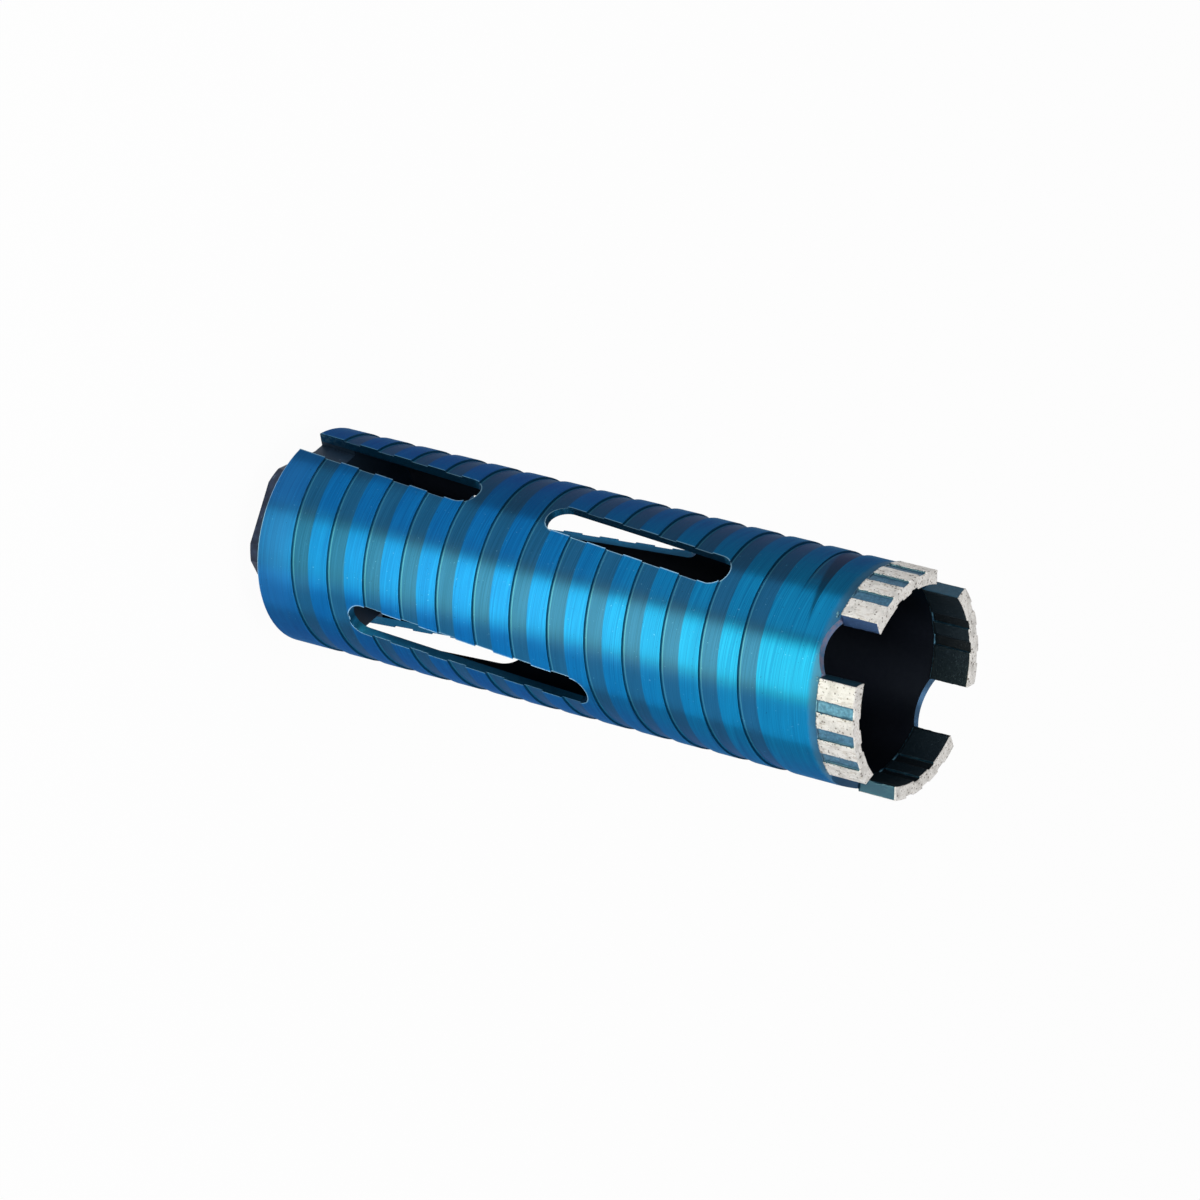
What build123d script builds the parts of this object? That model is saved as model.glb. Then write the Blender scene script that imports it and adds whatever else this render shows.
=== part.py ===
"""Diamond core bit: a slotted steel barrel with a spiral groove, a hub at its rear end and four
diamond segments on its rim. It stands on the hub's rear face, with the crown up. Millimetres, +Z up."""

import os
from math import atan, cos, degrees, radians, sin, sqrt, tan

from build123d import *

# ---------------------------------------------------------------- driving dimensions

# barrel
barrel_outer_diameter = 50.0
barrel_wall = 2.2
barrel_length = 150.8
barrel_rear_chamfer = 0.3      # on the outer edge at the hub's end
weld_taper_length = 2.6        # the rim's outside is dressed down a little under the segments
weld_taper_depth = 0.15

# spiral groove in the barrel's outside, right-handed, one start
groove_pitch = 10.05
groove_width = 4.9
groove_depth = 0.4
groove_start_height = 8.4      # of the groove's middle, above the barrel's rear edge
groove_front_margin = 10.9     # from the middle of the last full-depth groove to the barrel's rim
groove_runout_angle = 58.0     # degrees over which the groove rises out of the wall
groove_runout_overlap = 0.15   # how far back the run-out's cut starts inside the full-depth groove

# slanted slots through the barrel, two of each kind. Heights are above the barrel's rear edge, and
# azimuths are those of a slot's middle line, carried on to that edge.
slot_width = 7.75
slot_lean = 4.7                # degrees from the axis
rear_slot_front_end = 50.0     # this slot is open at the rear
rear_slot_azimuths = [0.0, 180.0]
middle_slot_rear_end = 25.2
middle_slot_front_end = 89.2
middle_slot_azimuths = [90.0, 268.3]
front_slot_rear_end = 70.0
front_slot_front_end = 119.8
front_slot_azimuths = [-1.75, 182.0]

# hub, a turned disc in the barrel's rear end with a hexagon behind it
hub_disc_thickness = 10.0
hub_hexagon_length = 7.0
hub_across_flats = 33.8
hub_turned_diameter = 36.8     # the hexagon's corners are turned down to this
hub_hexagon_azimuth = 49.5     # of the middle of one flat
hub_notch_depth = 1.7          # how far the open slots run into the disc's edge
thread_major_diameter = 20.955 # pipe thread, half inch
thread_mouth_chamfer = 0.8

# diamond segments
segment_count = 4
segment_height = 9.4
segment_side_relief = 0.5      # how far the lands stand proud of the barrel, outside and inside
segment_chord = 24.4           # across the outer corners
segment_flank_angle = 13.0     # each flank to the segment's middle plane
segment_groove_pitch = 14.8    # degrees between outer grooves, which the inner ones lie between
outer_groove_count = 3
inner_groove_count = 2
outer_groove_width = 2.7
inner_groove_width = 2.4

# round gullets in the rim between the segments
gullet_radius = 11.0
gullet_depth = 1.8

# ---------------------------------------------------------------- derived values

barrel_radius = barrel_outer_diameter / 2
bore_radius = barrel_radius - barrel_wall
barrel_rear = hub_hexagon_length
barrel_front = barrel_rear + barrel_length
hub_front = barrel_rear + hub_disc_thickness
segment_outer_radius = barrel_radius + segment_side_relief
segment_inner_radius = bore_radius - segment_side_relief
clear_of_part = 2 * barrel_radius   # a cutter's reach past any face
segment_angle = 360 / segment_count


def slot_cutter(rear_end, front_end, azimuth, floor_radius=0.0):
    """A leaning obround bar that cuts from outside in to floor_radius."""
    middle = (rear_end + front_end) / 2
    middle_azimuth = azimuth + degrees(middle * tan(radians(slot_lean)) / barrel_radius)
    outward = Vector(1, 0, 0).rotate(Axis.Z, middle_azimuth)
    plane = Plane(origin=Vector(0, 0, barrel_rear + middle) + outward * floor_radius,
                  x_dir=(0, 0, 1), z_dir=outward)
    with BuildPart() as cutter:
        with BuildSketch(plane):
            SlotOverall((front_end - rear_end) / cos(radians(slot_lean)), slot_width, rotation=-slot_lean)
        extrude(amount=clear_of_part)
    return cutter.part


open_slot_rear_end = -2 * slot_width   # past the rear edge, so that the slot opens there
slots = [
    (open_slot_rear_end, rear_slot_front_end, rear_slot_azimuths),
    (middle_slot_rear_end, middle_slot_front_end, middle_slot_azimuths),
    (front_slot_rear_end, front_slot_front_end, front_slot_azimuths),
]

# ---------------------------------------------------------------- barrel

groove_end_height = barrel_length - groove_front_margin
groove_floor_radius = barrel_radius - groove_depth
runout_rise = groove_pitch * groove_runout_angle / 360


def groove_cutter(start_height, height, cone_angle):
    """The bar that the groove's tool sweeps out. Its helix passes azimuth 0 at each full pitch."""
    with BuildPart() as cutter:
        with BuildLine(Plane.XY.offset(barrel_rear + start_height)) as path:
            Helix(groove_pitch, height, groove_floor_radius, cone_angle=cone_angle)
        with BuildSketch(Plane(origin=path.line @ 0, x_dir=(1, 0, 0), z_dir=path.line % 0)):
            Rectangle(3 * groove_depth, groove_width, align=(Align.MIN, Align.CENTER))
        sweep(path=path.line, is_frenet=True)
    return cutter.part.rotate(Axis.Z, 360 * start_height / groove_pitch)


with BuildPart() as barrel:
    with BuildSketch(Plane.XY.offset(barrel_rear)):
        Circle(barrel_radius)
        Circle(bore_radius, mode=Mode.SUBTRACT)
    extrude(amount=barrel_length)
    rear_outer_edge = barrel.edges().filter_by(GeomType.CIRCLE).group_by(Axis.Z)[0].sort_by(SortBy.RADIUS)[-1]
    chamfer(rear_outer_edge, barrel_rear_chamfer)
    front_outer_edge = barrel.edges().filter_by(GeomType.CIRCLE).group_by(Axis.Z)[-1].sort_by(SortBy.RADIUS)[-1]
    chamfer(front_outer_edge, weld_taper_depth, weld_taper_length, reference=barrel.faces().sort_by(Axis.Z)[-1])
    add(groove_cutter(groove_start_height, groove_end_height - groove_start_height, 0), mode=Mode.SUBTRACT)
    add(groove_cutter(groove_end_height - groove_runout_overlap, runout_rise,
                      degrees(atan(groove_depth / runout_rise))), mode=Mode.SUBTRACT)
    for rear_end, front_end, azimuths in slots:
        for azimuth in azimuths:
            add(slot_cutter(rear_end, front_end, azimuth), mode=Mode.SUBTRACT)
    for gap in range(segment_count):
        gap_azimuth = (gap + 0.5) * segment_angle
        with BuildSketch(Plane(origin=(0, 0, barrel_front + gullet_radius - gullet_depth),
                               z_dir=Vector(1, 0, 0).rotate(Axis.Z, gap_azimuth))):
            Circle(gullet_radius)
        extrude(amount=clear_of_part, mode=Mode.SUBTRACT)
barrel.part.label = "barrel"

# ---------------------------------------------------------------- hub

with BuildPart() as hub:
    with BuildSketch(Plane.XY.offset(barrel_rear)):
        Circle(bore_radius)
    extrude(amount=hub_disc_thickness)
    with BuildSketch(Plane.XY):
        Circle(hub_turned_diameter / 2)
        RegularPolygon(hub_across_flats / 2, 6, major_radius=False, rotation=hub_hexagon_azimuth + 30,
                       mode=Mode.INTERSECT)
    extrude(amount=hub_hexagon_length)
    for azimuth in rear_slot_azimuths:
        add(slot_cutter(open_slot_rear_end, rear_slot_front_end, azimuth, bore_radius - hub_notch_depth),
            mode=Mode.SUBTRACT)
    with BuildSketch(Plane.XY):
        Circle(thread_major_diameter / 2)
    extrude(amount=hub_front, mode=Mode.SUBTRACT)
    rear_mouth = hub.edges().filter_by(GeomType.CIRCLE).group_by(Axis.Z)[0].sort_by(SortBy.RADIUS)[0]
    chamfer(rear_mouth, thread_mouth_chamfer)
hub.part.label = "hub"

# ---------------------------------------------------------------- diamond segments


def flank_half_width(x):
    """Half the width between a segment's flanks, at a distance x from the barrel's axis."""
    outer_corner_x = sqrt(segment_outer_radius ** 2 - (segment_chord / 2) ** 2)
    return segment_chord / 2 + (x - outer_corner_x) * tan(radians(segment_flank_angle))


segments = []
for number in range(segment_count):
    azimuth = number * segment_angle
    with BuildPart() as segment:
        with BuildSketch(Plane.XY.offset(barrel_front).rotated((0, 0, azimuth))):
            Circle(segment_outer_radius)
            Circle(segment_inner_radius, mode=Mode.SUBTRACT)
            with BuildLine():
                Polyline((0, flank_half_width(0)), (clear_of_part, flank_half_width(clear_of_part)),
                         (clear_of_part, -flank_half_width(clear_of_part)), (0, -flank_half_width(0)), close=True)
            make_face(mode=Mode.INTERSECT)
            with PolarLocations(segment_outer_radius, outer_groove_count,
                                start_angle=-(outer_groove_count - 1) / 2 * segment_groove_pitch,
                                angular_range=(outer_groove_count - 1) * segment_groove_pitch, endpoint=True):
                Rectangle(2 * segment_side_relief, outer_groove_width, mode=Mode.SUBTRACT)
            with PolarLocations(segment_inner_radius, inner_groove_count,
                                start_angle=-(inner_groove_count - 1) / 2 * segment_groove_pitch,
                                angular_range=(inner_groove_count - 1) * segment_groove_pitch, endpoint=True):
                Rectangle(2 * segment_side_relief, inner_groove_width, mode=Mode.SUBTRACT)
        extrude(amount=segment_height)
    segment.part.label = f"segment_{number + 1}"
    segments.append(segment.part)

# ---------------------------------------------------------------- files

os.makedirs("parts", exist_ok=True)
for piece in [barrel.part, hub.part] + segments:
    export_step(piece, f"parts/{piece.label}.step")
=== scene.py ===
# %% [markdown]
# # A diamond core bit
# A core bit grinds a ring out of a wall and keeps the core. This one is a slotted steel tube under
# blue lacquer, with a hub for the drill at one end and four diamond segments at the other. The
# imported CAD model is the fixed frame: it says where everything is. This file adds what a CAD solid
# can't show: finishes, worn edges, painted highlights and shade, a thread and beads of weld.

# %% Load the frame
import math

import bmesh
import bpy
from mathutils import Matrix, Vector, noise


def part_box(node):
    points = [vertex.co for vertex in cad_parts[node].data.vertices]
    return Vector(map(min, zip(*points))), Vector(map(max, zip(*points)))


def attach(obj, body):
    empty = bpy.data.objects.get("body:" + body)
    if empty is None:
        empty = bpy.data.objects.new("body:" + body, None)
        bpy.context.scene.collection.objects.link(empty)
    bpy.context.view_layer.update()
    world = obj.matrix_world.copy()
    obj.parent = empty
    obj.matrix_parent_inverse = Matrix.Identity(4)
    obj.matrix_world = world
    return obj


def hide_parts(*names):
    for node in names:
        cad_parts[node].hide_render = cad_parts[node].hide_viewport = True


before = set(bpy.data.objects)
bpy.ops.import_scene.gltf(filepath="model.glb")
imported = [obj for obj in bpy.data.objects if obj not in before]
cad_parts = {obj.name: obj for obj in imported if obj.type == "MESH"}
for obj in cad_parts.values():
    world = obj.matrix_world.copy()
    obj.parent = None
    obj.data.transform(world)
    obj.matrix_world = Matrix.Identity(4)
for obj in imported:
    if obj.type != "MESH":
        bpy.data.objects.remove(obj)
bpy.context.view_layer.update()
scene = bpy.context.scene
print("nodes:", sorted(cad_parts))

# %% [markdown]
# ## Sizes
# Blender works in metres, and the sizes of a drill bit are easier to read in millimetres, so every
# size below is in millimetres, and `MM` turns it into metres. What the frame already knows is read
# from the frame, because a number that is written twice will one day be changed only once.

# %% Sizes read from the frame
MM = 0.001
barrel_low, barrel_high = (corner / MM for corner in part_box("barrel"))
segment_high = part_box("segment_1")[1] / MM
barrel_radius = barrel_high.x
barrel_rear = barrel_low.z
rim_height = barrel_high.z
segment_radius = segment_high.x
crown_height = segment_high.z
print("barrel radius", round(barrel_radius, 2), "mm; crown at", round(crown_height, 2), "mm")

# %% [markdown]
# The frame gives boxes, not the places of a segment's grooves, so those sizes are written here as
# the solid has them.

# %% Sizes of the segments
segment_count = 4
segment_turn = 360 / segment_count
segment_groove_pitch = 14.8    # degrees between the grooves in a segment's outside
segment_groove_half_width = 1.35
segment_inner_radius = 22.3
print(segment_count, "segments, one every", segment_turn, "degrees")

# %% [markdown]
# ## Camera
# A long lens keeps the tube's sides nearly parallel. The camera looks down on the standing bit, and
# is rolled so far to the side that the bit seems to lie, with its crown towards the viewer. Three
# Euler angles could turn it, but nobody can picture those. So it gets a place around the bit, a
# point to look at and a roll, and its own three directions follow from them.

# %% Place the camera
camera_azimuth = math.radians(53.52)
camera_elevation = math.radians(32.09)
camera_roll = math.radians(104.31)
camera_distance = 1313.6
camera_aim = Vector((0.86, -0.63, 83.93))
lens_length, sensor_width = 177.06, 36
nearest_seen = 50

camera_data = bpy.data.cameras.new("camera")
camera_data.lens = lens_length
camera_data.sensor_width = sensor_width
camera_data.clip_start = nearest_seen * MM
camera = bpy.data.objects.new("camera", camera_data)
scene.collection.objects.link(camera)


def direction(azimuth, elevation):
    """The unit vector that points from the bit's axis to a place around it."""
    return Vector((math.cos(azimuth) * math.cos(elevation),
                   math.sin(azimuth) * math.cos(elevation),
                   math.sin(elevation)))


backward = direction(camera_azimuth, camera_elevation)
level_right = Vector((0, 0, 1)).cross(backward).normalized()
right = Matrix.Rotation(camera_roll, 3, backward) @ level_right
upward = backward.cross(right)
turn = Matrix((right, upward, backward)).transposed()
camera_place = (camera_aim + camera_distance * backward) * MM
camera.matrix_world = Matrix.Translation(camera_place) @ turn.to_4x4()
scene.camera = camera
print("camera at", [round(c, 3) for c in camera.location])

# %% [markdown]
# ## Writing shaders as sums
# Every finish here is procedural: it is worked out from the place of a point on the bit, so it
# needs no pictures and no unwrapping. The nodes could be drawn in the editor, but two hundred of
# them are hard to follow. `Wire` stands for one output of a node, and adding or multiplying wires
# adds the Math nodes, so that a finish reads as arithmetic.

# %% Wires
class Wire:
    """An output socket of a node. Arithmetic on it adds Math nodes to the same material."""

    def __init__(self, finish, socket):
        self.finish, self.socket = finish, socket

    def also(self, output):
        """Another output of the same node."""
        return Wire(self.finish, self.socket.node.outputs[output])

    def math(self, operation, other=0.0):
        return self.finish.node("Math", {"operation": operation}, {0: self, 1: other})

    def __add__(self, other):
        return self.math("ADD", other)

    def __sub__(self, other):
        return self.math("SUBTRACT", other)

    def __rsub__(self, other):
        return self.finish.node("Math", {"operation": "SUBTRACT"}, {0: other, 1: self})

    def __mul__(self, other):
        return self.math("MULTIPLY", other)

    def __truediv__(self, other):
        return self.math("DIVIDE", other)

    __radd__, __rmul__ = __add__, __mul__

    def step(self, low, high):
        """0 where the value is at low, 1 where it is at high, and smooth between them."""
        return self.finish.node("MapRange", {"interpolation_type": "SMOOTHSTEP"},
                                {"Value": self, "From Min": low, "From Max": high})


print("wires can be added, subtracted, multiplied, divided and stepped")

# %% [markdown]
# `Finish` is one material. Its `node` method adds any node, and the other methods are short names
# for the nodes that come back again and again: mixes, layers of colour, noise, streaks and bumps.

# %% Finishes
class Finish:
    """A material in the making, and the node tree behind it."""

    def __init__(self, name):
        self.material = bpy.data.materials.new(name)
        self.material.use_nodes = True
        self.tree = self.material.node_tree
        self.surface = self.tree.nodes["Principled BSDF"]

    def node(self, kind, settings=None, sockets=None, output=0):
        """Add a node: its type, its settings, which are set first, and its sockets' feeds."""
        node = self.tree.nodes.new("ShaderNode" + kind)
        for name, value in (settings or {}).items():
            setattr(node, name, value)
        for name, value in (sockets or {}).items():
            self.feed(node.inputs[name], value)
        return Wire(self, node.outputs[output])

    def feed(self, socket, value):
        """Link a wire to a socket, or write a value into it."""
        if isinstance(value, Wire):
            self.tree.links.new(value.socket, socket)
        elif socket.type == "RGBA":
            socket.default_value = (*value, 1)
        else:
            socket.default_value = value

    def vector(self, operation, first, second, output="Vector"):
        return self.node("VectorMath", {"operation": operation}, {0: first, 1: second}, output)

    def mix(self, first, second, factor):
        """The first colour where the factor is 0, and the second where it is 1."""
        return self.node("Mix", {"data_type": "RGBA"}, {0: factor, 6: first, 7: second}, 2)

    def layered(self, base, *layers):
        """Lay colours over a base. Each has a colour, a mask that says where, and a strength."""
        for colour, mask, strength in layers:
            base = self.mix(base, colour, mask * strength)
        return base

    def noise(self, place, scale, detail=2.0, roughness=0.5):
        return self.node("TexNoise", None, {"Vector": place, "Scale": scale, "Detail": detail,
                                            "Roughness": roughness})

    def streaks(self, place, squeeze, scale=1.0, detail=2.0, roughness=0.5):
        """Noise squeezed more along one axis than along another, which draws it into streaks."""
        return self.noise(self.vector("MULTIPLY", place, squeeze), scale, detail, roughness)

    def bumps(self, height, depth, strength):
        """The normal of a surface with that height, where a height of 1 is that depth."""
        return self.node("Bump", None, {"Strength": strength, "Distance": depth * MM,
                                        "Height": height})

    def set(self, **sockets):
        """Feed the shader's own sockets. A space in a socket's name is written as _."""
        for name, value in sockets.items():
            self.feed(self.surface.inputs[name.replace("_", " ")], value)


print("a finish can mix, layer, streak and bump")

# %% [markdown]
# A bit is round, so its marks are easiest to place by height, radius and turn about the axis.
# `Place` works these out from the Object coordinates, which stay put when the bit is moved.

# %% Where a shaded point is
class Place:
    """A shaded point in millimetres: its height, radius and turn, and where its face looks."""

    def __init__(self, finish):
        metres = finish.node("TexCoord", output="Object")
        self.point = finish.node("VectorMath", {"operation": "SCALE"},
                                 {0: metres, "Scale": 1 / MM})
        x = finish.node("SeparateXYZ", None, {0: self.point})
        y, self.height = x.also("Y"), x.also("Z")
        flat = finish.vector("MULTIPLY", self.point, (1, 1, 0))
        self.radius = finish.node("VectorMath", {"operation": "LENGTH"}, {0: flat}, "Value")
        self.turn = y.math("ARCTAN2", x) / (2 * math.pi)
        outward = finish.node("VectorMath", {"operation": "NORMALIZE"}, {0: flat})
        normal = finish.node("NewGeometry", output="True Normal")
        self.facing_out = finish.vector("DOT_PRODUCT", normal, outward, "Value")


print("a place has a height, a radius, a turn and a facing")

# %% [markdown]
# ## Blue lacquer on the barrel
# The tube is turned bright, which leaves fine scratches around it, and then blue lacquer is sprayed
# on. Painted shade and painted highlights follow the spiral groove, and worn lacquer with a painted
# highlight follows the slots' edges. They could be painted on a picture of the unrolled tube, but
# that would have to be drawn again whenever the tube changes. Here they are worked out from the
# numbers that the solid was made with.

# %% Sizes of the groove and the slots
groove_pitch = 10.05
groove_half_width = 2.455      # along the axis
groove_depth = 0.4
groove_end = 139.9             # above the barrel's rear edge, where the groove starts to rise
groove_runout_rise = 1.62
slot_half_width = 3.875
slot_lean = math.radians(4.7)
slot_pairs = [(-15.5, 50.0, (0.0, 180.0)),     # rear end, front end and the pair's azimuths
              (25.2, 89.2, (90.0, 268.3)),
              (70.0, 119.8, (-1.75, 182.0))]
slots = [(rear, front, azimuth) for rear, front, pair in slot_pairs for azimuth in pair]
print(len(slots), "slots,", round((rim_height - barrel_rear) / groove_pitch), "turns of the groove")

# %% [markdown]
# ### Scratches
# Turning leaves scratches that are long around the tube and thin along it. Thousands of modelled
# lines would be slow, so noise is squeezed along the axis, once for fine scratches and once for
# broad ones.

# %% Start the lacquer with its scratches
lacquer = Finish("blue lacquer on turned steel")
place = Place(lacquer)
facing_start, facing_full = 0.6, 0.8     # how squarely a face looks away from the axis, or to it
outer_skin = place.facing_out.step(facing_start, facing_full)
inner_skin = place.facing_out.step(-facing_start, -facing_full)

fine_squeeze, fine_strength = (0.045, 0.045, 6.0), 0.85
broad_squeeze, broad_strength = (0.04, 0.04, 0.9), 0.18
fine_scratches = lacquer.streaks(place.point, fine_squeeze, roughness=0.6)
broad_scratches = lacquer.streaks(place.point, broad_squeeze)
scratches = (fine_scratches - 0.5) * fine_strength + (broad_scratches - 0.5) * broad_strength
print("scratches:", len(lacquer.tree.nodes), "nodes")

# %% [markdown]
# ### Lands
# The lands are the bands of full diameter between the turns of the groove. Their blue is deep, a
# little greener towards the crown, clouded where the spray lay unevenly, and hazy at the rear.

# %% Colour of the lands
land_dark, land_light = (0.0002, 0.050, 0.165), (0.002, 0.108, 0.290)
front_dark, front_light = (0.0002, 0.060, 0.150), (0.003, 0.138, 0.275)
cloud_blue, haze_blue = (0.0002, 0.045, 0.175), (0.022, 0.08, 0.20)
greener_from, greener_to = 60, 150       # heights
haze_end, haze_full = 16, 2              # above the barrel's rear edge
cloud_scale = 0.12
land_contrast = (0.2, 0.8)

scratch_light = (scratches + 0.5).step(*land_contrast)
uneven_spray = (lacquer.noise(place.point, cloud_scale) - 0.5).math("ABSOLUTE")
haze = place.height.step(barrel_rear + haze_end, barrel_rear + haze_full)
land_colour = lacquer.mix(land_dark, land_light, scratch_light)
land_colour = lacquer.layered(land_colour, (cloud_blue, uneven_spray, 0.8))
front_colour = lacquer.mix(front_dark, front_light, scratch_light)
land_colour = lacquer.mix(land_colour, front_colour, place.height.step(greener_from, greener_to))
land_colour = lacquer.layered(land_colour, (haze_blue, haze, 0.3))
print("lands:", len(lacquer.tree.nodes), "nodes")

# %% [markdown]
# ### Groove
# The groove is a spiral, so a point is in it when its height, less the climb of its own turn, is
# near a full pitch. The tool leaves a duller floor there, and the lacquer lies thicker. A painted
# shadow darkens the floor along the rear wall.

# %% Colour of the groove
groove_dark, groove_light = (0.001, 0.044, 0.10), (0.006, 0.07, 0.155)
# A painted shadow: the colour that darkens the groove's floor along its rear wall.
painted_wall_shadow = (0.0, 0.018, 0.04)
shadow_band = (0.26, 0.06)               # distances from the rear wall
groove_contrast = (0.3, 0.7)
land_start, land_full = 0.4, 0.15        # parts of the groove's depth, below the outside

land = place.radius.step(barrel_radius - land_start * groove_depth,
                         barrel_radius - land_full * groove_depth)
climb = (place.height - barrel_rear) / groove_pitch - place.turn
from_groove_middle = ((climb + 0.5).math("FRACT") - 0.5) * groove_pitch


def from_rear_wall(low, high):
    """A step between two distances from the groove's rear wall."""
    return from_groove_middle.step(low - groove_half_width, high - groove_half_width)


groove_colour = lacquer.mix(groove_dark, groove_light, (scratches + 0.5).step(*groove_contrast))
groove_colour = lacquer.layered(groove_colour, (painted_wall_shadow, from_rear_wall(*shadow_band), 0.7))
skin_colour = lacquer.mix(groove_colour, land_colour, land)
print("lands and groove:", len(lacquer.tree.nodes), "nodes")

# %% [markdown]
# ### Slot edges
# Dust and fingers wear the lacquer off sharp edges first, and the rounded edges catch the light. A
# bevel node could find the edges, but it finds all of them, and it is slow. On the unrolled tube a
# slot is a leaning bar with round ends, so the distance from its edge can be worked out, and a pale
# colour is laid where that distance is small: worn lacquer with a painted highlight.

# %% Distance from the nearest slot's edge
def slot_edge_distance(finish, place):
    """Distance in mm along the tube's outside from the nearest slot's edge, below 0 in a slot."""
    girth = 2 * math.pi * barrel_radius
    nearest = None
    for rear, front, azimuth in slots:
        middle = (rear + front) / 2
        start = azimuth / 360 + middle * math.tan(slot_lean) / girth
        along = place.height - (barrel_rear + middle)
        around = ((place.turn - start + 0.5).math("FRACT") - 0.5) * girth
        length = along * math.cos(slot_lean) + around * math.sin(slot_lean)
        width = around * math.cos(slot_lean) - along * math.sin(slot_lean)
        straight_half = (front - rear) / math.cos(slot_lean) / 2 - slot_half_width
        past_end = (length.math("ABSOLUTE") - straight_half).math("MAXIMUM", 0.0)
        distance = (past_end * past_end + width * width).math("SQRT") - slot_half_width
        nearest = distance if nearest is None else nearest.math("MINIMUM", distance)
    return nearest


edge_distance = slot_edge_distance(lacquer, place)
print("slot edges:", len(lacquer.tree.nodes), "nodes")

# %% [markdown]
# Noise breaks the worn and lit line up, because an even line looks drawn. The groove's floor also
# gets a thin bright line beside its dark one, which is a painted highlight, the tube's rear edge a
# painted highlight, and the whole tube a few light and dark specks of dust.

# %% Wear and painted highlights on the edges, and specks
# A painted highlight: the thin bright colour on the groove's floor beside the rear wall.
painted_floor_highlight = (0.05, 0.22, 0.30)
speck_light, speck_dark = (0.10, 0.28, 0.40), (0.001, 0.02, 0.05)
worn_and_lit_slot_edge, painted_rear_edge_highlight = (0.30, 0.50, 0.62), (0.35, 0.55, 0.72)
wear_band = (0.34, 0.08)                 # distances from a slot's edge
rear_edge_top, rear_edge_full = 0.45, 0.2
highlight_band_end, highlight_band_start = (0.75, 0.55), (0.3, 0.5)
light_specks, dark_specks = (0.74, 0.78), (0.25, 0.21)

edge_noise = lacquer.noise(place.point, scale=0.9, detail=3.0, roughness=0.65)
# Worn lacquer and a painted highlight: the pale colour laid along the slots' edges.
slot_edge_wear_and_highlight = (outer_skin * edge_distance.step(*wear_band)
                  * (edge_noise + 0.18).step(0.45, 0.6))
# A painted highlight: the bright line along the tube's rear edge, where its chamfer catches the
# light.
rear_edge = place.height.step(barrel_rear + rear_edge_top, barrel_rear + rear_edge_full)
rear_edge = rear_edge * (1 - inner_skin)
# Where the painted highlight lies on the groove's floor.
floor_highlight_line = (1 - land) * from_rear_wall(*highlight_band_end) * from_rear_wall(*highlight_band_start)
specks = lacquer.noise(place.point, scale=1.7, detail=1.0)
skin_colour = lacquer.layered(
    skin_colour,
    (painted_floor_highlight, floor_highlight_line, 0.45),
    (speck_light, specks.step(*light_specks), 0.3),
    (speck_dark, specks.step(*dark_specks), 0.6),
    (worn_and_lit_slot_edge, slot_edge_wear_and_highlight, 0.55),
    (painted_rear_edge_highlight, rear_edge, 0.7))
print("worn edges:", len(lacquer.tree.nodes), "nodes")

# %% [markdown]
# ### Run-out
# Where the tool left the metal, at the groove's front end, the groove gets shallower over a sixth
# of a turn, and a dark mark in it narrows to a point. `runout` is 0 where the tool starts to rise
# and 1 where it is out.

# %% The tool's mark at the groove's end
tool_mark_colour = (0.0003, 0.022, 0.045)
mark_narrowing = 4.0                     # of the mark's rear side, from end to end
mark_rear, mark_front = (-2.7, -1.9), (2.4, 2.2)
mark_start, mark_end = (-0.15, 0.15), (1.25, 0.95)     # parts of the run-out

runout = (place.height - barrel_rear - from_groove_middle - groove_end) / groove_runout_rise
tool_mark = outer_skin * runout.step(*mark_start) * runout.step(*mark_end)
tool_mark = tool_mark * (from_groove_middle - runout * mark_narrowing).step(*mark_rear)
tool_mark = tool_mark * from_groove_middle.step(*mark_front)
skin_colour = lacquer.layered(skin_colour, (tool_mark_colour, tool_mark, 0.75))
print("run-out:", len(lacquer.tree.nodes), "nodes")

# %% [markdown]
# ### Rim, walls and inside
# Welding dulls the lacquer at the rim, and the gullet wall between the first two segments gets a
# purple-grey patch. Little spray gets on the cut walls of the slots. The tube's inside is painted
# nearly black, which is painted shade of the hollow.

# %% Colour of the rim, the walls and the inside
wall_dark, wall_light = (0.003, 0.055, 0.13), (0.010, 0.10, 0.20)
# Painted shade: the nearly black colour of the tube's inside.
inside_shade_dark, inside_shade_light = (0.007, 0.009, 0.015), (0.013, 0.016, 0.023)
weld_haze, rear_wear_colour = (0.03, 0.115, 0.21), (0.07, 0.15, 0.23)
gullet_colour, gullet_purple_grey = (0.10, 0.19, 0.34), (0.20, 0.17, 0.24)
tinted_gullet = 0.125                    # its turn: an eighth, between the first two segments
tint_reach, tint_full = 0.075, 0.05      # turns to either side of that
weld_reach, weld_full = 2.2, 0.9         # below the rim
gullet_reach, gullet_full = 3.5, 2.5     # below the rim
wear_end, wear_full = 12, 2              # above the barrel's rear edge
weld_raggedness = 1.2

weld_zone = place.height + edge_noise * weld_raggedness
weld_zone = weld_zone.step(rim_height - weld_reach, rim_height - weld_full)
skin_colour = lacquer.layered(skin_colour, (weld_haze, weld_zone, 0.75))
rear_wear = place.height.step(barrel_rear + wear_end, barrel_rear + wear_full)
rear_wear = rear_wear * edge_noise.step(0.42, 0.6)
near_rim = place.height.step(rim_height - gullet_reach, rim_height - gullet_full)
gullet_wall = (1 - outer_skin) * (1 - inner_skin) * near_rim
gullet_purple_patch = (place.turn - tinted_gullet).math("ABSOLUTE").step(tint_reach, tint_full)
gullet_purple_patch = gullet_wall * gullet_purple_patch
wall_colour = lacquer.layered(
    lacquer.mix(wall_dark, wall_light, edge_noise),
    (rear_wear_colour, rear_wear, 0.8),
    (gullet_colour, gullet_wall, 0.7),
    (gullet_purple_grey, gullet_purple_patch * edge_noise.step(0.35, 0.6), 0.8))
painted_inside_shade = lacquer.mix(inside_shade_dark, inside_shade_light, edge_noise)
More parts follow.
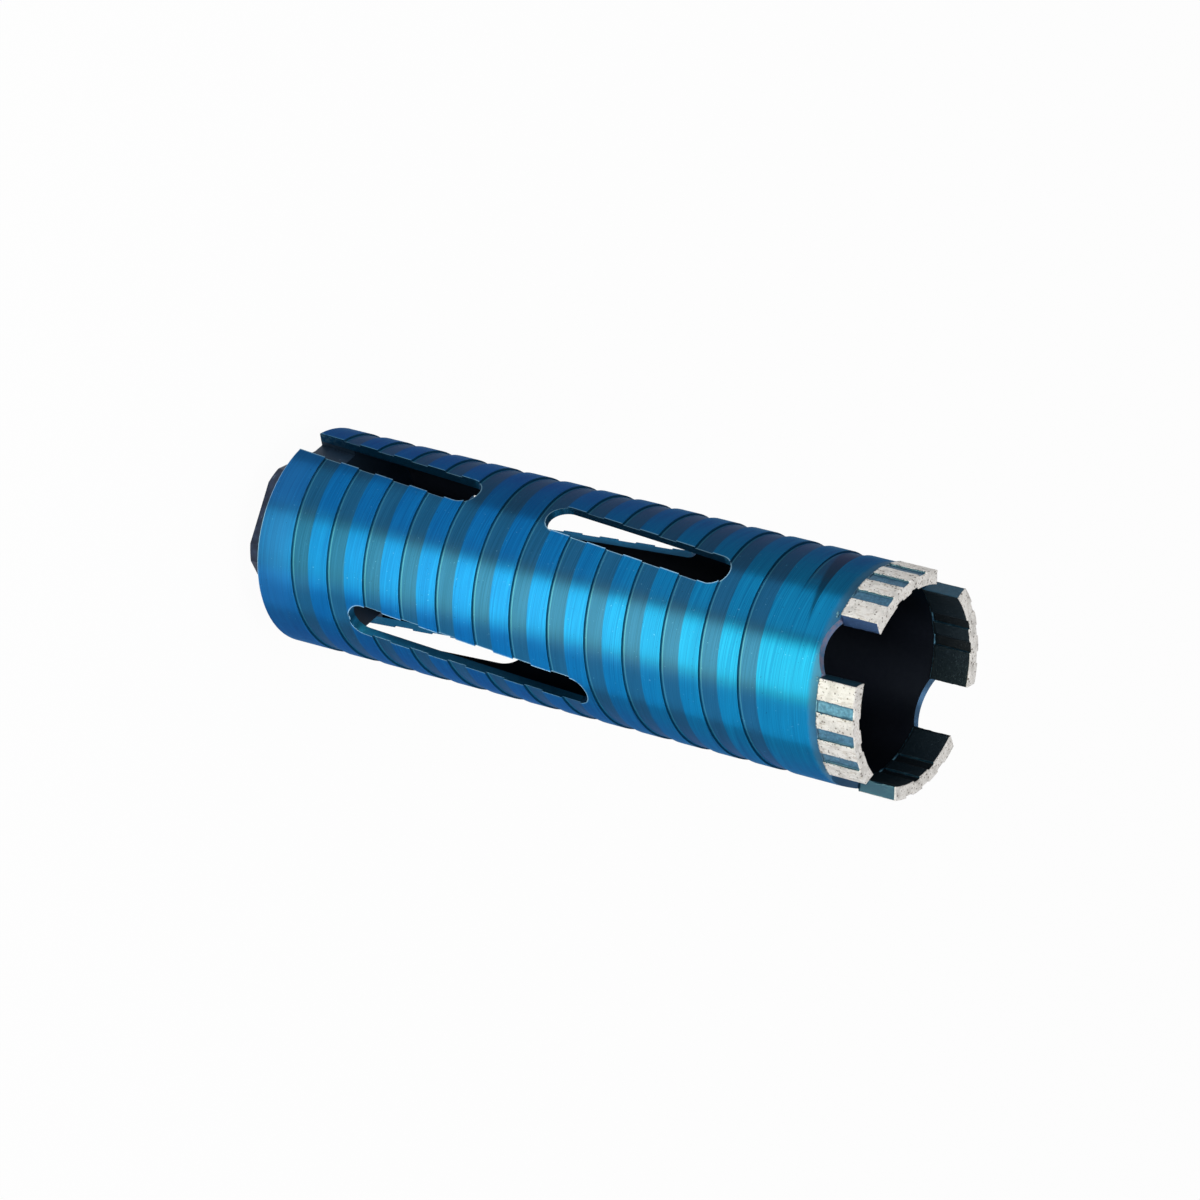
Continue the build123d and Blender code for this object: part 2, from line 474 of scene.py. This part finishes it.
colour = lacquer.mix(wall_colour, skin_colour, outer_skin)
colour = lacquer.mix(colour, painted_inside_shade, inner_skin)
print("rim, walls and inside:", len(lacquer.tree.nodes), "nodes")

# %% [markdown]
# ### Shine
# The steel shines through the lacquer, so the outside is metallic with a thin coat. The scratches
# spread each reflection along the axis, and that is what Anisotropic does, at a quarter of a turn
# from its usual way. Specular Tint keeps the reflections at the tube's sides blue.

# %% The barrel's finish
base_roughness = 0.35
groove_dulling, scratch_dulling, inside_dulling, weld_dulling = 0.07, 0.12, 0.3, 0.12
weld_metal_loss, wall_metal, inside_extra_metal = 0.4, 0.8, 0.2
land_coat, groove_extra_coat, wall_coat = 0.07, 0.07, 0.08
scratch_height, slot_edge_height, slot_edge_round = 0.35, 1.2, 0.3
side_tint = (0.03, 0.38, 0.55)

in_groove = 1 - land
roughness = (base_roughness + in_groove * groove_dulling + scratches * scratch_dulling
             + inner_skin * inside_dulling + weld_zone * weld_dulling)
metallic = (outer_skin * (1 - weld_metal_loss * weld_zone)
            + (1 - outer_skin) * (wall_metal + inside_extra_metal * inner_skin))
coat = (outer_skin * (land_coat + groove_extra_coat * in_groove)
        + wall_coat * (1 - outer_skin) * (1 - inner_skin))
surface_height = (scratches * scratch_height
                  + edge_distance.step(0.0, slot_edge_round) * slot_edge_height)
lacquer.set(Base_Color=colour, Roughness=roughness, Metallic=metallic, Coat_Weight=coat,
            Normal=lacquer.bumps(surface_height, depth=0.03, strength=0.35))
lacquer.set(Coat_Roughness=0.3, Anisotropic=1.0, Anisotropic_Rotation=0.25,
            Specular_Tint=side_tint)
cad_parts["barrel"].material_slots[0].material = lacquer.material
print("barrel finish:", len(lacquer.tree.nodes), "nodes")

# %% [markdown]
# ## Dull paint on the hub
# The hub is machined apart from the tube and joined to it. Its paint is thinner and duller, nearly
# slate, with turning marks under it and bare scrapes where tools touched it.

# %% The hub's finish
slate_dark, slate_light = (0.005, 0.012, 0.034), (0.016, 0.032, 0.075)
disc_colour, scrape_colour = (0.002, 0.020, 0.045), (0.22, 0.27, 0.33)
paint_edge = 0.05              # half the height over which the hexagon's paint becomes the disc's

hub_paint = Finish("dull slate paint on the hub")
place = Place(hub_paint)
turning = hub_paint.streaks(place.point, (0.1, 0.1, 4.0))
blotches = hub_paint.noise(place.point, scale=0.5, detail=4.0, roughness=0.6)
disc = place.height.step(barrel_rear - paint_edge, barrel_rear + paint_edge)
scrape = (blotches + turning * 0.6).step(0.98, 1.08)
hub_colour = hub_paint.layered(
    hub_paint.mix(slate_dark, slate_light, blotches.step(0.35, 0.7)),
    (disc_colour, disc, 0.8),
    (scrape_colour, scrape, 0.6))
hub_paint.set(Base_Color=hub_colour, Metallic=0.6 + scrape * 0.3, Roughness=0.42 + blotches * 0.16,
              Normal=hub_paint.bumps(turning + blotches * 0.6, depth=0.04, strength=0.3))
hub_paint.set(Coat_Weight=0.06, Coat_Roughness=0.35)
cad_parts["hub"].material_slots[0].material = hub_paint.material
print("hub finish:", len(hub_paint.tree.nodes), "nodes")

# %% [markdown]
# ## From a bmesh to a piece
# A bmesh is Blender's mesh for editing. Each new piece of the bit ends in the same way: it is
# shaded smooth, put in the scene, and carried by the bit's one rigid body.

# %% Helpers that finish a piece
def new_object(bm, name):
    """Put a bmesh in the scene as an object, and free it."""
    mesh = bpy.data.meshes.new(name)
    bm.to_mesh(mesh)
    bm.free()
    made = bpy.data.objects.new(name, mesh)
    scene.collection.objects.link(made)
    return made


def finished_piece(bm, name):
    """Make a bmesh a piece of the bit."""
    for face in bm.faces:
        face.smooth = True
    piece = new_object(bm, name)
    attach(piece, "root")
    return piece


def to_metres(bm):
    """Turn a bmesh that was drawn in millimetres into metres."""
    bmesh.ops.scale(bm, verts=bm.verts, vec=(MM, MM, MM))


print("pieces can be finished")

# %% [markdown]
# ## Thread in the hub
# The bit screws on to the drill's arbor by a pipe thread in the hub. A thread could be a bump in
# the material, but a real ridge catches light from every side. One tooth is drawn as a face, and
# `spin` turns it around the axis while it climbs, which sweeps out the whole ridge.

# %% Sweep the thread's ridge
thread_pitch = 1.814
thread_root = 10.53            # the radius where the ridge starts, just inside the hub's wall
thread_crest = 9.32            # its inner radius
tooth_foot, tooth_tip = 0.85, 0.16      # half widths
thread_first, thread_last = 0.9, 16.0   # heights of the ridge's middle at its two ends
steps_per_turn = 60

bm = bmesh.new()
tooth = [(thread_root, -tooth_foot), (thread_crest, -tooth_tip),
         (thread_crest, tooth_tip), (thread_root, tooth_foot)]
tooth_face = bm.faces.new([bm.verts.new((x, 0, thread_first + z)) for x, z in tooth])
turns = (thread_last - thread_first) / thread_pitch
steps = round(turns * steps_per_turn)
bmesh.ops.spin(bm, geom=[tooth_face] + tooth_face.edges[:] + tooth_face.verts[:],
               axis=(0, 0, 1), cent=(0, 0, 0), dvec=(0, 0, thread_pitch / steps_per_turn),
               angle=2 * math.pi * turns, steps=steps)
print("ridge:", round(turns, 1), "turns in", steps, "steps")

# %% [markdown]
# A cut thread doesn't stop at once: it runs out into the wall. So the crest is pushed back to the
# root over the first and the last third of a pitch. Spin can turn a shape inside out, and its
# normals are therefore worked out again.

# %% Fade the thread's ends
fade_length = thread_pitch / 3    # the climb over which the ridge grows out of the wall
end_reach = 0.2                   # how far past its ends the ridge may stand up
root_margin = 0.1                 # a vertex nearer to the root than this stays
least_height = 0.05               # what is left of the ridge where it has faded
most_pushed = thread_root - thread_crest - least_height

for v in bm.verts:
    radial = Vector((v.co.x, v.co.y, 0))
    if radial.length < thread_root - root_margin:
        grown = min(1.0, (v.co.z - thread_first + end_reach) / fade_length,
                    (thread_last + end_reach - v.co.z) / fade_length)
        v.co += radial.normalized() * most_pushed * (1 - max(0.0, grown))
bmesh.ops.recalc_face_normals(bm, faces=bm.faces)
open_edges = sum(not edge.is_manifold for edge in bm.edges)
to_metres(bm)
thread = finished_piece(bm, "thread_ridge")
thread.data.materials.append(hub_paint.material)
print("thread:", len(thread.data.polygons), "faces,", open_edges, "open edges")

# %% [markdown]
# ## Diamond segments
# A segment is sintered: metal powder pressed and fired with diamond grit in it. Its edges are soft
# and crumbly, and its ground faces are pale with dark pores. A CAD solid has knife edges, so a copy
# of each is merged and its edges are bevelled. The foot's edges, on the rim, stay sharp.

# %% Round the edges of one segment
merge_distance = 0.002
flat_angle, sharp_angle = math.radians(0.5), math.radians(30)
foot_margin = 0.01             # an edge is the foot's when no part of it is higher than this
edge_round = 0.14


def rounded_copy(node):
    """A bmesh of a segment with rounded edges, and the height of its foot in metres."""
    bm = bmesh.new()
    bm.from_mesh(node.data)
    bmesh.ops.remove_doubles(bm, verts=bm.verts, dist=merge_distance * MM)
    bmesh.ops.dissolve_limit(bm, angle_limit=flat_angle, verts=bm.verts, edges=bm.edges)
    foot = min(v.co.z for v in bm.verts)
    sharp = [e for e in bm.edges if e.calc_face_angle(0) > sharp_angle
             and max(v.co.z for v in e.verts) > foot + foot_margin * MM]
    bmesh.ops.bevel(bm, geom=sharp, offset=edge_round * MM, affect="EDGES", segments=2,
                    profile=0.5, material=-1, clamp_overlap=True)
    return bm, foot


print("edges rounded by", edge_round, "mm")

# %% [markdown]
# Noise can only move vertices, so the big flat faces need many. `subdivide_edges` would leave long
# thin faces beside the bevels, and so the mesh is sliced by planes, half a millimetre apart, in
# three directions.

# %% Cut a mesh into cells
cell = 0.5
slice_tolerance = 1e-7         # metres


def cut_into_cells(bm, way):
    """Slice the mesh by parallel planes, a cell apart, without opening it."""
    reach = [v.co.dot(way) for v in bm.verts]
    low, high = min(reach), max(reach)
    for index in range(1, math.ceil((high - low) / (cell * MM))):
        geometry = bm.verts[:] + bm.edges[:] + bm.faces[:]
        bmesh.ops.bisect_plane(bm, geom=geometry, dist=slice_tolerance,
                               plane_co=way * (low + index * (cell * MM)), plane_no=way)


print("cells of", cell, "mm")

# %% [markdown]
# Each vertex is then pushed in, a little everywhere for the grain, and more along the edges, where
# bits have crumbled away. A vertex is on an edge when its normal agrees with none of the segment's
# three main directions. The foot stays where it is, so that it still meets the rim.

# %% Roughen the surface
grain = 0.06 * MM              # depth of the fine grain, in metres as the mesh is
crumble = 0.7 * MM             # how far the edges may crumble away
settling = 0.4 * MM            # height above the foot from which the push is full
edge_softness = 0.25
fine_scale, coarse_scale, coarse_bias = 2.1, 0.75, 0.1
pattern_shift = 31             # from one segment's part of the noise to the next one's


def roughen(bm, number, foot, sideways):
    """Push the vertices of that segment in by noise."""
    bm.normal_update()
    moves = []
    for v in bm.verts:
        radial = Vector((v.co.x, v.co.y, 0)).normalized()
        parts = (abs(v.normal.dot(radial)), abs(v.normal.z), abs(v.normal.dot(sideways)))
        on_edge = min(1.0, (1 - max(parts)) / edge_softness)
        point = v.co / MM + Vector((0, 0, pattern_shift * number))
        fine = 0.5 + 0.5 * noise.noise(point * fine_scale)
        coarse = max(0.0, noise.noise(point * coarse_scale) + coarse_bias)
        depth = grain * fine + crumble * on_edge * coarse * fine
        settled = min(1.0, (v.co.z - foot) / settling)
        moves.append((v, -v.normal * depth * settled))
    for v, move in moves:
        v.co += move


print("grain", grain / MM, "mm, crumble", crumble / MM, "mm")

# %% [markdown]
# The four copies differ only in their place in the noise. Each replaces its CAD node, which stays
# in the frame but is no longer drawn.

# %% Make the four segments
def rough_segment(number):
    outward = direction(math.radians(segment_turn * (number - 1)), 0)
    sideways = Vector((0, 0, 1)).cross(outward)
    bm, foot = rounded_copy(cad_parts[f"segment_{number}"])
    for way in (Vector((0, 0, 1)), outward, sideways):
        cut_into_cells(bm, way)
    bmesh.ops.triangulate(bm, faces=[face for face in bm.faces if len(face.verts) > 4])
    roughen(bm, number, foot, sideways)
    piece = finished_piece(bm, f"rough_segment_{number}")
    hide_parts(f"segment_{number}")
    return piece


rough_segments = [rough_segment(number) for number in range(1, segment_count + 1)]
print([len(piece.data.polygons) for piece in rough_segments], "faces")

# %% [markdown]
# ### What is ground bare
# The segments were painted with the tube, and then ground: the lands and the crown are bare, while
# the grooves, the flanks and the inside keep their paint. Where one meets the other, the paint's
# edge is ragged, because it breaks off at the pores.

# %% Bare and painted places
sintered = Finish("sintered metal with diamond grit")
place = Place(sintered)
grooved_half = 8.8             # from a segment's middle to past its last groove
ground_off = (0.17, 0.27)      # how far outside the barrel's radius the grinding took the paint
pores = sintered.noise(place.point, scale=1.5, detail=3.0, roughness=0.7)
ragged = (pores - 0.5) * 2.2

quarter = (place.turn * segment_count + 0.5).math("FRACT") - 0.5
around = quarter * (2 * math.pi * segment_radius / segment_count)
groove_spacing = 2 * math.pi * segment_radius * segment_groove_pitch / 360
from_groove = ((around / groove_spacing + 0.5).math("FRACT") - 0.5).math("ABSOLUTE")
past_last_groove = (around.math("ABSOLUTE") - grooved_half) * 10     # large, so no groove there
from_groove = (from_groove * groove_spacing).math("MAXIMUM", past_last_groove)

outer_land = place.radius.step(*(barrel_radius + reach for reach in ground_off))
outer_land = outer_land * place.facing_out.step(0.3, 0.6)
outer_land = outer_land * (from_groove + ragged).step(segment_groove_half_width - 0.1,
                                                      segment_groove_half_width + 0.1)
outer_land = outer_land * (place.height + ragged * 0.6).step(rim_height + 0.05, rim_height + 0.3)
crown = (place.height + ragged * 0.12).step(crown_height - 0.4, crown_height - 0.25)
bare = outer_land.math("MAXIMUM", crown)
print("bare places:", len(sintered.tree.nodes), "nodes")

# %% [markdown]
# ### Sintered metal
# The bare metal is pale and blotchy. Grinding leaves brown lines in it, and torn-out grains leave
# pits: small dark ones where the pore noise is high, and rounder ones from the cells of a Voronoi
# texture, where diamonds sat.

# %% Colour of the bare metal
metal_dark, metal_light = (0.60, 0.58, 0.55), (0.80, 0.78, 0.75)
ground_brown, pit_colour = (0.40, 0.33, 0.26), (0.085, 0.06, 0.045)

blotches = sintered.noise(place.point, scale=0.45, detail=3.0, roughness=0.6)
grit = sintered.node("TexVoronoi", {"feature": "F1"}, {"Vector": place.point, "Scale": 1.0},
                     "Distance")
ground_lines = sintered.streaks(place.point, (0.9, 0.9, 0.25), scale=2.2)
diamond_pits = (grit + (blotches - 0.5) * 0.6).step(0.26, 0.16)
pits = pores.step(0.615, 0.67).math("MAXIMUM", diamond_pits)
metal_colour = sintered.layered(
    sintered.mix(metal_dark, metal_light, blotches.step(0.35, 0.6)),
    (ground_brown, (ground_lines + blotches * 0.4).step(0.74, 0.88), 0.45),
    (pit_colour, pits, 0.8))
print("bare metal:", len(sintered.tree.nodes), "nodes")

# %% [markdown]
# ### Paint on the segments
# The paint is darkest on the inner faces, and painted shade darkens it further in the inner grooves.
# A painted light makes the first segment's flank bluest. In the outer grooves the paint is thin over
# bright metal, and painted shade darkens their sides.

# %% The segments' finish
flank_dark, flank_light = (0.0005, 0.028, 0.054), (0.002, 0.048, 0.088)
inner_dark, inner_light = (0.002, 0.010, 0.018), (0.006, 0.021, 0.033)
groove_thick, groove_thin = (0.010, 0.065, 0.125), (0.035, 0.13, 0.22)
# Painted shade: the colour of the inner grooves, and the darker colour at the outer grooves' sides.
inner_groove_shade, groove_side_shade = (0.001, 0.004, 0.007), (0.004, 0.05, 0.10)
# Painted light: the bluer colour of the first segment's lit flank.
lit_flank = (0.035, 0.085, 0.23)
lit_flank_turn = 0.079         # of the first segment's flank

outside = place.radius.step(barrel_radius - 0.8, barrel_radius - 0.5)
inside = place.facing_out.step(-0.3, -0.6)
on_lit_flank = (place.turn - lit_flank_turn).math("ABSOLUTE").step(0.016, 0.008) * (1 - inside)
in_inner_groove = place.radius.step(segment_inner_radius + 0.2, segment_inner_radius + 0.4)
paint_colour = sintered.mix(flank_dark, flank_light, blotches)
paint_colour = sintered.layered(paint_colour, (lit_flank, on_lit_flank, 0.8))
inner_paint = sintered.mix(inner_dark, inner_light, pores)
inner_paint = sintered.layered(inner_paint, (inner_groove_shade, in_inner_groove, 0.8))
paint_colour = sintered.mix(paint_colour, inner_paint, inside)
groove_paint = sintered.mix(groove_thick, groove_thin, pores.step(0.35, 0.65))
groove_paint = sintered.layered(groove_paint, (groove_side_shade, from_groove.step(0.75, 1.3), 0.85))
paint_colour = sintered.mix(paint_colour, groove_paint, outside * place.facing_out.step(0.3, 0.7))
colour = sintered.mix(paint_colour, metal_colour, bare)
surface_height = pores + ground_lines * 0.5 - pits * 0.8
sintered.set(Base_Color=colour, Metallic=0.6 * (1 - bare), Roughness=0.55 - 0.12 * (1 - bare),
             Normal=sintered.bumps(surface_height, depth=0.05, strength=0.6))
sintered.set(Coat_Weight=0.1 * (1 - bare), Coat_Roughness=0.3)
for piece in rough_segments:
    piece.data.materials.append(sintered.material)
print("segment finish:", len(sintered.tree.nodes), "nodes")

# %% [markdown]
# ## Weld seams and spatter
# Each segment is welded to the rim. Outside, the weld is dressed down, but a thin uneven bead stays
# under the segment's overhang, inside and outside, and a few drops of spatter sit at its corners. A
# bead could be a bump, but its ragged outline shows at the rim. So a small round section is spun
# along the seam, and noise varies its thickness.

# %% The weld's finish
weld_dark, weld_light = (0.006, 0.04, 0.08), (0.05, 0.14, 0.20)

weld_lacquer = Finish("lacquered weld metal")
place = Place(weld_lacquer)
heat = weld_lacquer.noise(place.point, scale=0.8)
weld_colour = weld_lacquer.mix(weld_dark, weld_light, heat.step(0.35, 0.62))
ripples = weld_lacquer.noise(place.point, scale=3.0)
weld_lacquer.set(Base_Color=weld_colour, Metallic=0.8, Roughness=0.32 + heat * 0.2,
                 Normal=weld_lacquer.bumps(ripples, depth=0.04, strength=0.5))
weld_lacquer.set(Coat_Weight=0.2, Coat_Roughness=0.2)
print("weld finish:", len(weld_lacquer.tree.nodes), "nodes")

# %% [markdown]
# A bead starts as a small upright disc at one end of its seam, which `spin` draws along the rim.
# Its vertices then move away from the bead's middle line or towards it, by broad and small lumps.

# %% Helpers for beads and drops
bead_sides = 8
bead_steps_per_degree = 1.6
broad_lumps, small_lumps = (0.9, 0.5), (2.3, 0.35)     # scale of the noise, share of the thickness
drop_shape = (0.6, 1.0, 1.2, 1.0)                      # flattened on to the rim


def on_rim(azimuth, radius, height):
    """The matrix that carries a shape from the origin to a place around the axis."""
    return (Matrix.Rotation(math.radians(azimuth), 4, "Z")
            @ Matrix.Translation((radius, 0, height)))


def weld_bead(bm, azimuth, half_angle, radius, height, thickness):
    """Add an uneven bead of that thickness along one seam."""
    upright = Matrix.Rotation(math.pi / 2, 4, "X")
    ring = bmesh.ops.create_circle(bm, cap_ends=True, segments=bead_sides, radius=thickness,
                                   matrix=on_rim(azimuth - half_angle, radius, height) @ upright)
    ring = ring["verts"]
    cap = next(face for face in ring[0].link_faces)
    known = set(bm.verts) - set(ring)
    bmesh.ops.spin(bm, geom=[cap] + cap.edges[:] + cap.verts[:], axis=(0, 0, 1), cent=(0, 0, 0),
                   angle=math.radians(2 * half_angle),
                   steps=round(2 * half_angle * bead_steps_per_degree))
    for v in set(bm.verts) - known:
        flat = Vector((v.co.x, v.co.y, 0))
        middle = flat.normalized() * radius + Vector((0, 0, height))
        swell = 1.0 + sum(share * noise.noise(v.co * scale)
                          for scale, share in (broad_lumps, small_lumps))
        v.co = middle + (v.co - middle) * swell


def spatter_drop(bm, azimuth, radius, height, size):
    """Add one frozen drop."""
    flat = Matrix.Diagonal(drop_shape)
    bmesh.ops.create_icosphere(bm, subdivisions=2, radius=size,
                               matrix=on_rim(azimuth, radius, height) @ flat)


print("bead of", bead_sides, "sides")

# %% [markdown]
# Each seam gets a bead inside and outside, and each segment a few drops near its corners. Their
# places come from noise read at places far apart, which works like dice that fall the same way on
# every run.

# %% Make the beads and the drops
seam_height = rim_height - 0.12
seams = [(30.2, 22.72, 0.27), (28.2, 24.90, 0.22)]     # half angle, radius, thickness
drop_count, drops_on_near_side = 7, 5
drop_radius = 24.93
drop_angle, drop_spread = 25.5, 5.5      # from the segment's middle, and what chance adds
drop_top, drop_fall = 0.15, 1.6          # below the rim
drop_size, drop_growth = 0.14, 0.2
dice = (1.7, 2.3, 5.1)                   # steps in the noise per drop, segment and number drawn

bm = bmesh.new()
for number in range(segment_count):
    azimuth = segment_turn * number
    for half_angle, radius, thickness in seams:
        weld_bead(bm, azimuth, half_angle, radius, seam_height, thickness)
    for drop in range(drop_count):
        throws = [Vector((drop * dice[0], number * dice[1], part * dice[2])) for part in range(3)]
        chance = [0.5 + 0.5 * noise.noise(throw) for throw in throws]
        side = 1 if drop < drops_on_near_side else -1
        spatter_drop(bm, azimuth + side * (drop_angle + drop_spread * chance[0]), drop_radius,
                     rim_height - drop_top - drop_fall * chance[1],
                     drop_size + drop_growth * chance[2])
bmesh.ops.recalc_face_normals(bm, faces=bm.faces)
to_metres(bm)
weld = finished_piece(bm, "weld_seams")
weld.data.materials.append(weld_lacquer.material)
print("welds:", len(weld.data.polygons), "faces")

# %% [markdown]
# ## Floor
# The floor is white to the camera and to reflections, and takes a little real light, so that it
# keeps the bit's shadow. From below it is clear, so that the hub's face and its thread can be
# looked at. It lies a hair below the hub, because two faces in one place fight for each pixel.

# %% Make the floor
floor_radius = 3.0             # metres
floor_gap = 0.02
glow_share = 0.96              # of what the camera and reflections see of the floor

bm = bmesh.new()
bmesh.ops.create_circle(bm, cap_ends=True, segments=96, radius=floor_radius)
bmesh.ops.translate(bm, verts=bm.verts, vec=(0, 0, -floor_gap * MM))
floor = new_object(bm, "floor")

white_floor = Finish("white floor")
rays = white_floor.node("LightPath", output="Is Camera Ray")
seen = rays + rays.also("Is Glossy Ray") + rays.also("Is Transmission Ray")
glow = white_floor.node("Emission", None, {"Color": (1, 1, 1), "Strength": 1.0})
dull = white_floor.node("BsdfDiffuse", None, {"Color": (0.8, 0.8, 0.8)})
from_above = white_floor.node(
    "MixShader", None, {0: seen.math("MINIMUM", 1.0) * glow_share, 1: dull, 2: glow})
underneath = white_floor.node("NewGeometry", output="Backfacing")
clear = white_floor.node("BsdfTransparent")
both_sides = white_floor.node("MixShader", None, {0: underneath, 1: from_above, 2: clear})
white_floor.feed(white_floor.tree.nodes["Material Output"].inputs["Surface"], both_sides)
floor.data.materials.append(white_floor.material)
print("floor", floor_radius, "m")

# %% [markdown]
# ## World
# The world lights the bit softly from everywhere at half strength. The camera sees it at full
# strength, so the background is white without more light on the bit.

# %% A soft white room
room_light = 0.5
extra_for_camera = 0.5

world = bpy.data.worlds.new("studio")
world.use_nodes = True
sky = world.node_tree.nodes["Background"]
sky.inputs["Color"].default_value = (1, 1, 1, 1)
light_path = world.node_tree.nodes.new("ShaderNodeLightPath")
strength = world.node_tree.nodes.new("ShaderNodeMath")
strength.operation = "MULTIPLY_ADD"
strength.inputs[1].default_value = extra_for_camera
strength.inputs[2].default_value = room_light
world.node_tree.links.new(light_path.outputs["Is Camera Ray"], strength.inputs[0])
world.node_tree.links.new(strength.outputs[0], sky.inputs["Strength"])
scene.world = world
scene.view_settings.view_transform = "Standard"
print("world", room_light)

# %% [markdown]
# ## Lights
# Shiny metal shows its surroundings, so its lights are chosen by what they look like in it. Most of
# them are cards that only reflections show: they shape the bright band along the tube, and leave
# the plain light alone. Big softboxes could do the same, but they would bleach the pale segments.

# %% Helpers that make a light
def softbox(name, azimuth, height, distance, size, brightness, aim_height=80.0):
    """A rectangle of light, seen as a white patch of that brightness by whatever mirrors it."""
    data = bpy.data.lights.new(name, "AREA")
    data.shape = "RECTANGLE"
    data.size, data.size_y = (side * MM for side in size)
    data.energy = brightness * math.pi * data.size * data.size_y
    light = bpy.data.objects.new(name, data)
    scene.collection.objects.link(light)
    light.location = (direction(math.radians(azimuth), 0) * distance + Vector((0, 0, height))) * MM
    aim = Vector((0, 0, aim_height)) * MM - light.location
    light.rotation_euler = aim.to_track_quat("-Z", "Y").to_euler()
    light.visible_camera = False
    return light


def only_in_reflections(light, colour):
    light.visible_diffuse = False
    light.data.color = colour


print("lights can be made")

# %% [markdown]
# The brushed metal spreads its reflections up and down, so a standing card anywhere between two
# azimuths lights a strip along the whole tube. Four of them set how bright the tube is from side to
# side. One is faintly yellow, which makes blue metal look less violet.

# %% Standing cards
card_distance, card_height, card_tall = 700.0, 190.0, 340.0
white, faint_yellow = (1, 1, 1), (1.0, 1.0, 0.64)
standing_cards = (("band_card", 42, 97, 6.0, faint_yellow),   # first and last azimuth, brightness
                  ("upper_card", -12, 34, 5.2, white),
                  ("lower_card", 97, 139, 7.5, white),
                  ("far_card", 139, 199, 2.8, white))

for name, first, last, brightness, colour in standing_cards:
    width = 2 * card_distance * math.tan(math.radians(last - first) / 2)
    card = softbox(name, (first + last) / 2, card_height, card_distance, (width, card_tall),
                   brightness)
    only_in_reflections(card, colour)
print(len(standing_cards), "standing cards")

# %% [markdown]
# The coat isn't brushed, so it mirrors like varnish. Seen from above, a standing tube mirrors the
# floor around it, and the coat's highlight comes from cards that lie there. The higher a point is
# on the tube, the further out it mirrors the floor, so three cards in a row light three stretches
# of the tube. The last is the widest and brightest, and lights the stretch below the crown.

# %% Cards on the floor
floor_card_azimuth = 69.5
card_lift = 1                  # above the floor
floor_card_colour = (1.0, 1.0, 0.68)
floor_cards = (("near_card", 38, 75, 29, 2.5),         # from, to, half width, brightness
               ("middle_card", 75, 145, 56, 6.5),
               ("front_card", 145, 330, 112, 10.5))

for name, near, far, half_width, brightness in floor_cards:
    card = softbox(name, floor_card_azimuth, card_lift, (near + far) / 2,
                   (2 * half_width, far - near), brightness)
    card.rotation_euler = (math.pi, 0, math.radians(floor_card_azimuth - 90))
    only_in_reflections(card, floor_card_colour)
print(len(floor_cards), "cards on the floor")

# %% [markdown]
# Two plain softboxes light everything else, from the side and from above. They are large and dim,
# so that the ground faces of the segments stay pale and don't clip to white.

# %% Softboxes
softbox("side_softbox", azimuth=65, height=500, distance=900, size=(700, 500), brightness=2.2)
softbox("top_softbox", azimuth=60, height=900, distance=350, size=(500, 500), brightness=3.0)
